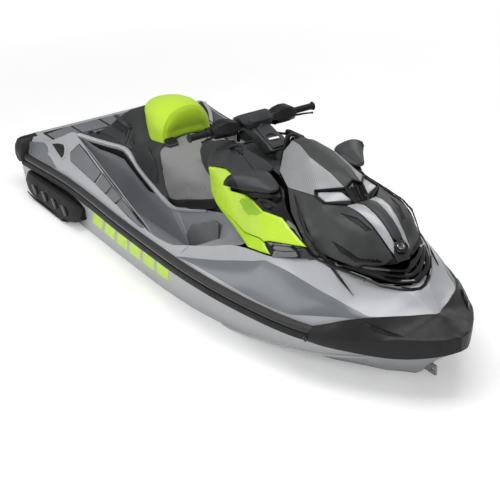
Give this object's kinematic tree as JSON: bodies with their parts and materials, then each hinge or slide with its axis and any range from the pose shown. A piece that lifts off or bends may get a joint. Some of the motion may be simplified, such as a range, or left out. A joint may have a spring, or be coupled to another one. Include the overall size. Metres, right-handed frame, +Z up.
{
  "type": "personal watercraft",
  "caption": "Sit-on jet-driven personal watercraft with saddle, handlebar, opening hood, turning jet nozzle and reverse bucket.",
  "frame": {"origin": "amidships on the centreline at the light waterline, which is the water mount", "axes": "+X towards the bow, +Y to port, +Z up"},
  "size_m": [3.318, 1.255, 1.147],
  "materials": {
    "hull_paint": "glossy gelcoat, light silver",
    "deck_paint": "metallic silver lacquer",
    "bumper_rubber": "satin extruded rubber",
    "bumper_plastic": "moulded, satin",
    "engine_metal": "plain",
    "charcoal_plastic": "moulded, fine grain",
    "seat_vinyl": "stitched vinyl",
    "backrest_vinyl": "stitched vinyl, neon green",
    "black_plastic": "moulded, satin",
    "mat_foam": "grooved foam mat",
    "green_plastic": "neon green, satin gloss",
    "gloss_black": "gloss black",
    "hood_paint": "charcoal metallic with silver shoulders",
    "mirror_glass": "flat mirror",
    "steel": "stainless",
    "pump_alloy": "painted casting",
    "grip_rubber": "ribbed grip"
  },
  "bodies": {
    "hull": {"hull": "hull_paint", "deck": "deck_paint", "side_rails": "bumper_rubber", "bow_bumper": "bumper_plastic", "stern_caps": "bumper_plastic", "engine_block": "engine_metal", "seat_cowl": "charcoal_plastic", "saddle_seat": "seat_vinyl", "backrest": "backrest_vinyl", "grab_handle": "black_plastic", "rear_deck_mat": "mat_foam", "footwell_mats": "mat_foam", "gunwale_pads": "mat_foam", "console": "charcoal_plastic", "console_loop": "black_plastic", "side_panel_starboard": "green_plastic", "side_panel_port": "green_plastic", "upper_fairing_starboard": "charcoal_plastic", "upper_fairing_port": "charcoal_plastic", "side_wedge_starboard": "black_plastic", "side_wedge_port": "black_plastic", "front_fairing": "gloss_black", "mirror_housings": "charcoal_plastic", "mirror_glasses": "mirror_glass", "sponsons": "bumper_plastic", "bow_eye": "steel", "stern_eyes": "steel", "drain_plugs": "black_plastic", "ride_plate": "pump_alloy", "intake_grate": "pump_alloy", "pump_housing": "pump_alloy"},
    "impeller": {"impeller": "steel", "drive_shaft": "steel"},
    "nozzle": {"steering_nozzle": "pump_alloy"},
    "bucket": {"reverse_bucket": "pump_alloy"},
    "handlebar": {"steering_neck": "charcoal_plastic", "handlebar_tube": "steel", "grips": "grip_rubber", "switch_housings": "black_plastic", "control_levers": "black_plastic", "gauge_pod": "black_plastic"},
    "hood": {"hood": "hood_paint", "hood_badge": "gloss_black"},
    "glove_lid": {"glove_lid": "charcoal_plastic"}
  },
  "joints": [
    {"name": "impeller_spin", "type": "hinge", "parent": "hull", "child": "impeller", "pos_m": [-1.375, 0, -0.08], "axis": [1, 0, 0], "continuous": true},
    {"name": "handlebar_turn", "type": "hinge", "parent": "hull", "child": "handlebar", "pos_m": [0.262, 0, 0.727], "axis": [-0.5736, 0, 0.8192], "range_deg": [-25, 25]},
    {"name": "nozzle_steer", "type": "hinge", "parent": "hull", "child": "nozzle", "pos_m": [-1.535, 0, -0.08], "axis": [0, 0, 1], "range_deg": [-20, 20]},
    {"name": "bucket_tilt", "type": "hinge", "parent": "hull", "child": "bucket", "pos_m": [-1.44, 0, -0.08], "axis": [0, -1, 0], "range_deg": [0, 75]},
    {"name": "hood_open", "type": "hinge", "parent": "hull", "child": "hood", "pos_m": [1.215, 0, 0.535], "axis": [0, 1, 0], "range_deg": [0, 45]},
    {"name": "glove_lid_open", "type": "hinge", "parent": "hull", "child": "glove_lid", "pos_m": [-0.08, 0, 0.6673], "axis": [0, -1, 0], "range_deg": [0, 40]}
  ],
  "couplings": [
    {"joint": "nozzle_steer", "follows": "handlebar_turn", "ratio": -0.8}
  ]
}
